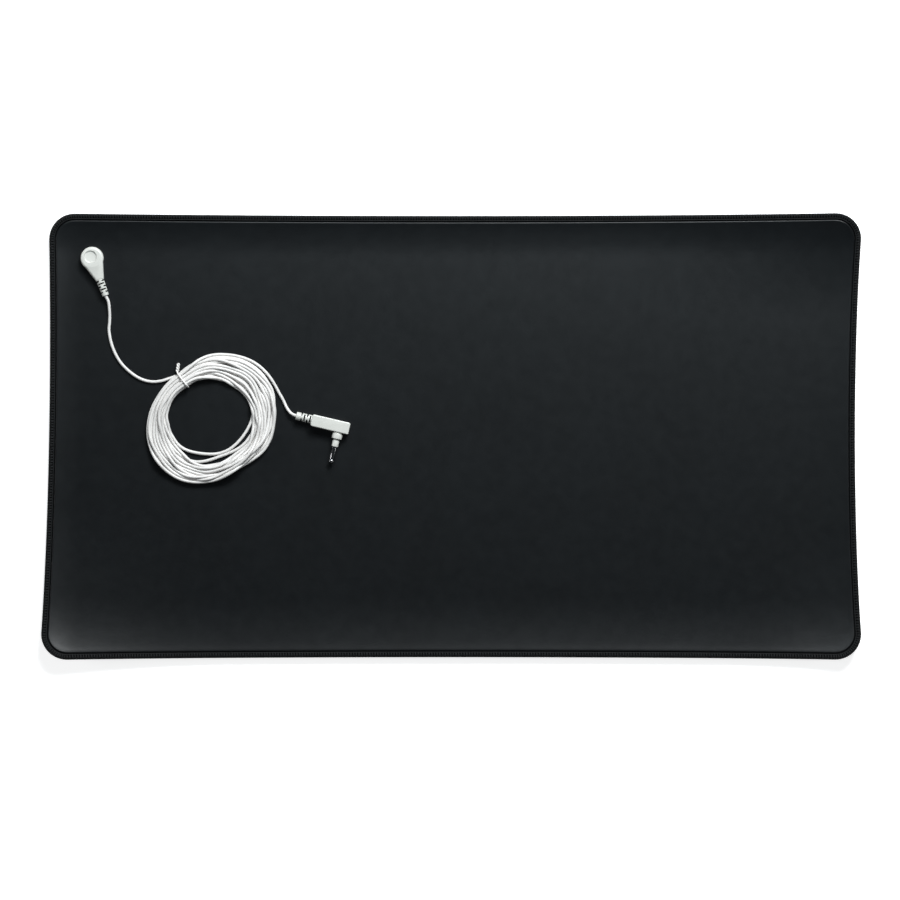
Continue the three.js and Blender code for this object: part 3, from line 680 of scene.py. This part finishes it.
def rim_point(run, inset, above):
    """A point at a run along the rim, inset from it and above the underside there"""
    run = np.asarray(run, float) % PERIMETER
    inset = np.broadcast_to(np.asarray(inset, float), run.shape)
    hx, hy = MAT_LENGTH / 2 - CORNER_RADIUS, MAT_WIDTH / 2 - CORNER_RADIUS
    parts = [(STRAIGHT_X, "s", (hx, 1), (-1, 0), 0), (ARC, "c", (-hx, hy), None, 90),
             (STRAIGHT_Y, "s", (-1, hy), (0, -1), 0), (ARC, "c", (-hx, -hy), None, 180),
             (STRAIGHT_X, "s", (-hx, -1), (1, 0), 0), (ARC, "c", (hx, -hy), None, 270),
             (STRAIGHT_Y, "s", (1, -hy), (0, 1), 0), (ARC, "c", (hx, hy), None, 0)]
    x, y = np.zeros_like(run), np.zeros_like(run)
    at = 0.0
    for i, (length, kind, anchor, heading, angle) in enumerate(parts):
        here = (run >= at) & (run < at + length)
        s, t = run[here] - at, inset[here]
        if kind == "c":
            turn = np.radians(angle) + s / CORNER_RADIUS
            x[here] = anchor[0] + (CORNER_RADIUS - t) * np.cos(turn)
            y[here] = anchor[1] + (CORNER_RADIUS - t) * np.sin(turn)
        elif heading[1] == 0:
            x[here] = anchor[0] + heading[0] * s
            y[here] = anchor[1] * (MAT_WIDTH / 2 - t)
        else:
            x[here] = anchor[0] * (MAT_LENGTH / 2 - t)
            y[here] = anchor[1] + heading[1] * s
        at += length
    sx, sy = settle(x, y)
    return np.stack([sx, sy, curl(x, y) + above], axis=1)


STITCH = 2.0
THREAD_RADIUS = 0.32
stitch_count = int(round(PERIMETER / STITCH))
pitch = PERIMETER / stitch_count
# One stitch of the looper thread: share of the pitch, inset and height above the underside
LOOP = [
    (0.00, 3.75, 1.95), (0.08, 3.2, 2.4), (0.20, 2.0, 2.5), (0.32, 0.65, 2.1), (0.38, 0.2, 1.3), (0.44, 0.8, 0.4),
    (0.56, 3.6, 0.15), (0.68, 0.8, 0.4), (0.74, 0.2, 1.3), (0.80, 0.65, 2.1), (0.90, 2.0, 2.5), (0.97, 3.2, 2.4),
]
# Section of the imported thread: inset and height above the underside; its first points lie over the groove by the
# stitching, so the near-black sleeve paints the groove's shade
SLEEVE_OUTER = [
    (4.95, 1.66), (4.1, 1.72), (3.6, 2.05), (1.6, 2.2), (0.75, 2.05), (0.4, 1.6),
    (0.35, 1.2), (0.5, 0.8), (0.9, 0.4), (2.2, 0.25), (4.5, 0.3),
]
SLEEVE_INNER = [(4.5, 0.42), (1.2, 0.6), (0.8, 1.1), (1.2, 1.45), (4.8, 1.5)]
SLEEVE_STEPS = 720


def looper_run():
    """The thread that wraps the rim, each stitch a little off the last"""
    rng = np.random.default_rng(11)
    share = np.array([p[0] for p in LOOP])
    inset = np.array([p[1] for p in LOOP])
    above = np.array([p[2] for p in LOOP])
    runs, insets, heights = [], [], []
    for k in range(stitch_count):
        wander = rng.normal(size=3)
        runs.append((k + share + 0.03 * wander[0]) * pitch)
        insets.append(inset)
        heights.append(above + 0.04 * wander[2])
    return rim_point(np.concatenate(runs), np.concatenate(insets), np.concatenate(heights))


def needle_run():
    """The straight seam at the inner side of the loops, three points to a stitch"""
    k = np.arange(stitch_count * 3)
    phase = (k % 3) / 3.0
    height = 2.12 + 0.22 * np.sin(np.pi * phase)
    inset = 3.72 + 0.1 * np.cos(2 * np.pi * phase)
    return rim_point((k + 0.3) / 3.0 * pitch, inset, height)


stitching = thread_curve(
    "edge_stitching", [looper_run(), needle_run()], THREAD_RADIUS, black_thread, sides=6, closed=True,
)
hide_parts("edge_binding")


def sleeve_mesh():
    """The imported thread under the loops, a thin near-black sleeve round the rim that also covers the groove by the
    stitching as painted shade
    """
    runs = np.linspace(0, PERIMETER, SLEEVE_STEPS, endpoint=False)
    bm = bmesh.new()
    rings = []
    for inset, above in SLEEVE_OUTER + SLEEVE_INNER:
        points = rim_point(runs, inset, above)
        verts = [bm.verts.new(p) for p in points]
        edges = [bm.edges.new((verts[i], verts[(i + 1) % len(verts)])) for i in range(len(verts))]
        rings.append(edges)
    for i in range(len(rings)):
        bmesh.ops.bridge_loops(bm, edges=rings[i] + rings[(i + 1) % len(rings)])
    bmesh.ops.recalc_face_normals(bm, faces=bm.faces)
    return bm


sleeve = piece("edge_sleeve", sleeve_mesh(), thread_base_and_groove_shade, sharp=80)


# Shapes for the moulded pieces
def turned(profile, steps):
    """A body turned about Z from radius and height pairs that start and end on the axis"""
    bm = bmesh.new()
    verts = [bm.verts.new((radius, 0, height)) for radius, height in profile]
    edges = [bm.edges.new(pair) for pair in zip(verts, verts[1:])]
    bmesh.ops.spin(
        bm, geom=verts + edges, axis=(0, 0, 1), cent=(0, 0, 0), angle=2 * math.pi, steps=steps, use_merge=True,
    )
    bmesh.ops.remove_doubles(bm, verts=bm.verts, dist=1e-4)
    bmesh.ops.recalc_face_normals(bm, faces=bm.faces)
    return bm


def arc(centre_radius, centre_height, radius, start, end, steps):
    """Points of a rounded edge in a profile"""
    angles = np.radians(np.linspace(start, end, steps + 1))
    return [(centre_radius + radius * math.cos(a), centre_height + radius * math.sin(a)) for a in angles]


def plate(outline, bottom, top, edge, segments):
    """A flat body over an outline, its top and bottom rims rounded"""
    bm = bmesh.new()
    verts = [bm.verts.new((x, y, bottom)) for x, y in outline]
    edges = [bm.edges.new((verts[i - 1], verts[i])) for i in range(len(verts))]
    bmesh.ops.contextual_create(bm, geom=edges)
    made = bmesh.ops.extrude_face_region(bm, geom=list(bm.faces), use_keep_orig=True)
    raised = [v for v in made["geom"] if isinstance(v, bmesh.types.BMVert)]
    bmesh.ops.translate(bm, verts=raised, vec=(0, 0, top - bottom))
    bmesh.ops.recalc_face_normals(bm, faces=bm.faces)
    rims = [e for e in bm.edges if abs(e.verts[0].co.z - e.verts[1].co.z) < 1e-6]
    bmesh.ops.bevel(
        bm, geom=rims, offset=edge, segments=segments, profile=0.5, affect="EDGES", material=-1, clamp_overlap=True,
    )
    bmesh.ops.remove_doubles(bm, verts=bm.verts, dist=1e-4)
    bmesh.ops.recalc_face_normals(bm, faces=bm.faces)
    return bm


def block(size, centre):
    bm = bmesh.new()
    bmesh.ops.create_cube(bm, size=1.0)
    bmesh.ops.scale(bm, vec=size, verts=bm.verts)
    bmesh.ops.translate(bm, verts=bm.verts, vec=centre)
    return bm


def joined(*parts):
    """Several meshes in one, as they stand"""
    mesh = bpy.data.meshes.new("joined")
    bm = bmesh.new()
    for part in parts:
        part.to_mesh(mesh)
        part.free()
        bm.from_mesh(mesh)
    bpy.data.meshes.remove(mesh)
    return bm


def combined(base, tool, operation):
    """The solid sum, difference or overlap of two meshes"""
    objects = []
    for label, bm in (("base", base), ("tool", tool)):
        mesh = bpy.data.meshes.new(label)
        bm.to_mesh(mesh)
        bm.free()
        objects.append(bpy.data.objects.new(label, mesh))
        bpy.context.scene.collection.objects.link(objects[-1])
    modifier = objects[0].modifiers.new("combine", "BOOLEAN")
    modifier.operation = operation
    modifier.solver = "EXACT"
    modifier.object = objects[1]
    graph = bpy.context.evaluated_depsgraph_get()
    result = bmesh.new()
    result.from_object(objects[0], graph)
    for obj in objects:
        mesh = obj.data
        bpy.data.objects.remove(obj)
        bpy.data.meshes.remove(mesh)
    return result


def relief(shape):
    """A tapered relief along +X with slots at its sides and, half a pitch on, above and below"""
    length, root, tip = shape["length"], shape["root"], shape["tip"]
    overlap, rounding = 0.8, 0.5
    bar = turned([
        (0, -overlap), (root, -overlap), (root, 0.0), (tip, length - rounding),
        *arc(tip - rounding, length - rounding, rounding, 0, 90, 4), (0, length),
    ], 48)
    bmesh.ops.rotate(bar, verts=bar.verts, cent=(0, 0, 0), matrix=Matrix.Rotation(math.pi / 2, 3, "Y"))
    reach = 2 * root
    offset = RELIEF_CORE / 2 + reach / 2
    window = (SLOT_WIDTH, 1.45 * root, reach)
    slots = []
    x = shape["side"]
    while x < length - SLOT_PITCH / 2:
        slots += [block((SLOT_WIDTH, reach, 2 * reach), (x, side * offset, 0)) for side in (-1, 1)]
        x += SLOT_PITCH
    x = shape["top"]
    while x < length - SLOT_PITCH:
        slots += [block(window, (x, 0, side * (offset - WINDOW_DEPTH))) for side in (-1, 1)]
        x += SLOT_PITCH
    return combined(bar, joined(*slots), "DIFFERENCE")


def moved(bm, matrix):
    bmesh.ops.transform(bm, matrix=matrix, verts=bm.verts)
    return bm


# Faces of a moulding that meet at more than this angle show a sharp edge
MOULDED_SHARP = 32


# Snap connector
def teardrop():
    """Outline of the connector's body: a round head drawn out to the strain relief"""
    half = BODY_END / 2
    reach = math.hypot(BODY_LENGTH, half)
    tangent = math.atan2(half, BODY_LENGTH) + math.acos(BODY_RADIUS / reach)
    angles = np.linspace(tangent, 2 * math.pi - tangent, 49)
    head = [(BODY_RADIUS * math.cos(a), BODY_RADIUS * math.sin(a)) for a in angles]
    return [(BODY_LENGTH, half), *head, (BODY_LENGTH, -half)]


def connector_mesh():
    """Head and body as one moulding, with the finger dimple above and the stud's bore below"""
    top, edge = HEAD_HEIGHT, CONNECTOR_EDGE
    head = turned([
        (0, 0), (HEAD_RADIUS - 0.5, 0), (HEAD_RADIUS, 0.5), *arc(HEAD_RADIUS - edge, top - edge, edge, 0, 90, 6),
        (DIMPLE_RADIUS, top), (0, top),
    ], 72)
    body = plate(teardrop(), 0, BODY_HEIGHT, edge, 4)
    whole = combined(head, body, "UNION")
    dimple = turned([
        (0, top - 1.0), (DIMPLE_RADIUS - 1.0, top - 0.99), (DIMPLE_RADIUS - 0.7, top - 0.95),
        (DIMPLE_RADIUS - 0.25, top - 0.8), (DIMPLE_RADIUS, top - 0.3), (DIMPLE_RADIUS + 0.35, top + 0.1),
        (DIMPLE_RADIUS + 0.35, top + 2), (0, top + 2),
    ], 64)
    whole = combined(whole, moved(dimple, Matrix.Translation((*DIMPLE_PLACE, 0))), "DIFFERENCE")
    arm = moved(relief(CONNECTOR_RELIEF), Matrix.Translation((BODY_LENGTH, 0, RELIEF_AXIS)))
    whole = combined(whole, arm, "UNION")
    bore = turned([(0, -1), (STUD_BORE_RADIUS, -1), (STUD_BORE_RADIUS, STUD_BORE_HEIGHT), (0, STUD_BORE_HEIGHT)], 48)
    return combined(whole, bore, "DIFFERENCE")


connector = piece(
    "snap_connector_shell", connector_mesh(), white_plastic, AT_CONNECTOR, sharp=MOULDED_SHARP,
)
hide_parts("snap_connector")


# Right-angle plug
def rounded_rectangle(width, depth, corners, steps=6):
    """Outline with its own radius at each corner, from +X +Y round"""
    outline = []
    signs = [(1, 1), (-1, 1), (-1, -1), (1, -1)]
    for (sx, sy), radius, start in zip(signs, corners, (0, 90, 180, 270)):
        outline += arc(sx * (width / 2 - radius), sy * (depth / 2 - radius), radius, start, start + 90, steps)
    return outline


def on_pin(bm):
    """Turns a body made along Z to point out of the plug's side, along the pin"""
    bmesh.ops.rotate(bm, verts=bm.verts, cent=(0, 0, 0), matrix=Matrix.Rotation(math.pi / 2, 3, "X"))
    return moved(bm, Matrix.Translation((PIN_OFFSET, -HOUSING[1] / 2, 0)))


def plug_mesh():
    """The housing, its two collars towards the pin and its strain relief, as one moulding"""
    length, width, height = HOUSING
    shell = plate(rounded_rectangle(length, width, (1.3, 1.2, 1.5, 0.8)), -height / 2, height / 2, 1.25, 5)
    moved(shell, Matrix.Translation((length / 2, 0, 0)))
    stem = on_pin(turned([
        (0, -2), (2.95, -2), (2.95, 0.9),
        (3.4, 0.9), *arc(3.4, 1.35, 0.45, -90, 0, 3), *arc(3.3, 4.55, 0.5, 0, 90, 4),
        (1.95, 5.1), (1.95, 6.0),
        (2.2, 6.0), *arc(2.2, 6.3, 0.3, -90, 0, 3), *arc(2.05, 10.5, 0.45, 0, 90, 4),
        (1.35, 10.95), (1.35, 8.2), (0, 8.2),
    ], 56))
    whole = combined(shell, stem, "UNION")
    arm = relief(PLUG_RELIEF)
    moved(arm, Matrix.Translation((0, PLUG_SHIFT, 0)) @ Matrix.Rotation(math.pi, 4, "Z"))
    return combined(whole, arm, "UNION")


plug = piece("plug_shell", plug_mesh(), white_plastic, AT_PLUG, sharp=MOULDED_SHARP)
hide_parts("plug_housing")


def pin_core_mesh():
    """The rod inside the pin, its foot at the collar and its rounded tip"""
    start, end, rod = PIN_START, PIN_START + PIN_LENGTH, 0.95
    return on_pin(turned([
        (0, 8.5), (rod, 8.5), (rod, start - 0.1), (1.85, start - 0.1), (1.95, start), (1.95, start + 0.55),
        (1.85, start + 0.65), (rod, start + 0.65), (rod, end - 2.3), (1.8, end - 2.3),
        (1.9, end - 2.2), *arc(0.95, end - 1.05, 1.05, 0, 85, 7), (0, end),
    ], 40))


def pin_leaf(turn):
    """One spring leaf: a thin strip bowed out between the two ends of the pin"""
    bm = bmesh.new()
    rows, cols = 18, 6
    start, end = PIN_START + 0.7, PIN_START + 9.5
    bmesh.ops.create_grid(bm, x_segments=cols, y_segments=rows, size=1.0)
    for v in bm.verts:
        s = (v.co.y + 1) / 2
        bow = math.sin(math.pi * s) ** 0.8
        radius = 1.62 + 0.36 * bow
        reach = math.radians(37 - 4 * bow)
        angle = turn + v.co.x * reach
        v.co = (radius * math.cos(angle), radius * math.sin(angle), start + (end - start) * s)
    bmesh.ops.recalc_face_normals(bm, faces=bm.faces)
    bmesh.ops.solidify(bm, geom=list(bm.faces), thickness=0.28)
    bmesh.ops.recalc_face_normals(bm, faces=bm.faces)
    return bm


pin_core = piece("pin_rod", pin_core_mesh(), plated_metal, AT_PLUG)
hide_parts("pin_core")
leaves = joined(*(pin_leaf(math.pi / 4 + i * math.pi / 2) for i in range(4)))
pin_cage = piece("pin_leaves", on_pin(leaves), plated_metal, AT_PLUG)
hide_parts("pin_spring")


# Twist tie: a coated wire round the bundle, its ends wound together
TIE_WIRE = 0.62
TIE_TAIL = 6.2
TAIL_TWIST = 9.6  # radians over the tail's length
TAIL_SPREAD = 1.15  # distance of each end from the tail's axis, in wire radii


def hull(points):
    """The tightest outline round a set of points"""
    points = sorted(map(tuple, points))
    halves = []
    for run in (points, points[::-1]):
        line = []
        for p in run:
            while len(line) > 1:
                (ax, ay), (bx, by) = line[-2:]
                if (bx - ax) * (p[1] - ay) > (by - ay) * (p[0] - ax):
                    break
                line.pop()
            line.append(p)
        halves += line[:-1]
    return np.array(halves)


def tie_line():
    """The wire's run: one wound end, round the bundle, and the other end"""
    near = np.abs((coil_theta - TIE_ANGLE + 180) % 360 - 180) < 180.0 / SLICES
    spread = CORD / 2 + TIE_WIRE + 0.02
    angles = np.linspace(0, 2 * math.pi, 24, endpoint=False)
    ring = np.concatenate([
        np.stack([r + spread * np.cos(angles), z + spread * np.sin(angles)], axis=1)
        for r, z in zip(coil_r[near], coil_z[near])
    ])
    ring[:, 1] = np.maximum(ring[:, 1], TIE_WIRE + 0.03)
    loop = hull(ring)
    loop = np.roll(loop, -int(np.argmax(loop[:, 0] + 0.35 * loop[:, 1])), axis=0)
    out = np.array([math.cos(math.radians(TIE_ANGLE)), math.sin(math.radians(TIE_ANGLE)), 0])
    base = np.array([*COIL_CENTRE, 0]) + stud_place
    on_loop = [base + out * r + np.array([0, 0, z]) for r, z in loop]
    along = np.array([0.14, 0.985, -0.08])
    along /= np.linalg.norm(along)
    side = np.cross(along, [0, 0, 1.0])
    side /= np.linalg.norm(side)
    up = np.cross(side, along)
    knot = on_loop[0] + 0.5 * out * TIE_WIRE + along * 0.8

    def wound(phase, shares):
        turns = [(s, phase + TAIL_TWIST * s) for s in shares]
        return [
            knot + along * TIE_TAIL * s + TAIL_SPREAD * TIE_WIRE * (side * math.cos(a) + up * math.sin(a))
            for s, a in turns
        ]

    shares = np.linspace(0, 1, 26)
    start = wound(math.pi / 2, shares[::-1])
    end = wound(-math.pi / 2, shares)
    return smooth_run([*start, *on_loop[1:-1], *end], 0.5)


tie = thread_curve("twist_tie_wire", [tie_line()], TIE_WIRE, tie_plastic, sides=10)
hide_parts("twist_tie")

# Press stud, post and socket keep their model shapes
for node in ("snap_stud", "stud_post", "snap_socket"):
    for held in [o for o in bpy.context.scene.objects if o.name == node and o.type == "MESH"]:
        for index in range(len(held.material_slots)):
            held.material_slots[index].material = plated_metal


# Floor and light
def floor_paint():
    material = bpy.data.materials.new("floor_paint")
    material.use_nodes = True
    shader = material.node_tree.nodes["Principled BSDF"]
    shader.inputs["Base Color"].default_value = (0.7, 0.7, 0.7, 1)
    shader.inputs["Roughness"].default_value = 0.9
    shader.inputs["Emission Color"].default_value = (1, 1, 1, 1)
    shader.inputs["Emission Strength"].default_value = 0.78
    return material


floor_mesh = bmesh.new()
bmesh.ops.create_grid(floor_mesh, x_segments=1, y_segments=1, size=10.0)
floor_data = bpy.data.meshes.new("floor")
floor_mesh.to_mesh(floor_data)
floor_mesh.free()
floor = link(bpy.data.objects.new("floor", floor_data), floor_paint())
floor.location.z = -0.0002

# Studio lights: place and target in metres, size, power in watts and colour
WHITE = (1.0, 1.0, 1.0)
COIL_SIDE = (-0.1, 0.0, 0.0)
LIGHTS = {
    "key": ((0.85, 2.55, 2.35), (0.0, 0.0, 0.0), (1.3, 0.9), 135, WHITE),
    "sheen": ((0.1, 0.52, 0.64), (0.03, 0.02, 0.0), (0.75, 0.28), 5.0, (0.84, 0.95, 1.0)),
    "left": ((-1.9, 0.1, 0.8), COIL_SIDE, (0.5, 0.5), 6, WHITE),
    "right": ((1.9, 0.1, 0.8), COIL_SIDE, (0.5, 0.5), 3, WHITE),
    "front": ((0.0, -2.2, 1.2), (0.0, 0.0, 0.0), (1.8, 0.8), 4, WHITE),
}
for name, (place, target, size, power, colour) in LIGHTS.items():
    data = bpy.data.lights.new(name, "AREA")
    data.shape = "RECTANGLE"
    data.size, data.size_y = size
    data.energy = power
    data.color = colour
    lamp = link(bpy.data.objects.new(name, data))
    lamp.location = place
    lamp.rotation_euler = (Vector(target) - Vector(place)).to_track_quat("-Z", "Y").to_euler()
    lamp.visible_camera = False
world_data = bpy.data.worlds.new("world")
world_data.use_nodes = True
background = world_data.node_tree.nodes["Background"]
background.inputs["Color"].default_value = (0.82, 0.93, 1.0, 1)
background.inputs["Strength"].default_value = 0.07
bpy.context.scene.world = world_data
bpy.context.scene.view_settings.view_transform = "Standard"
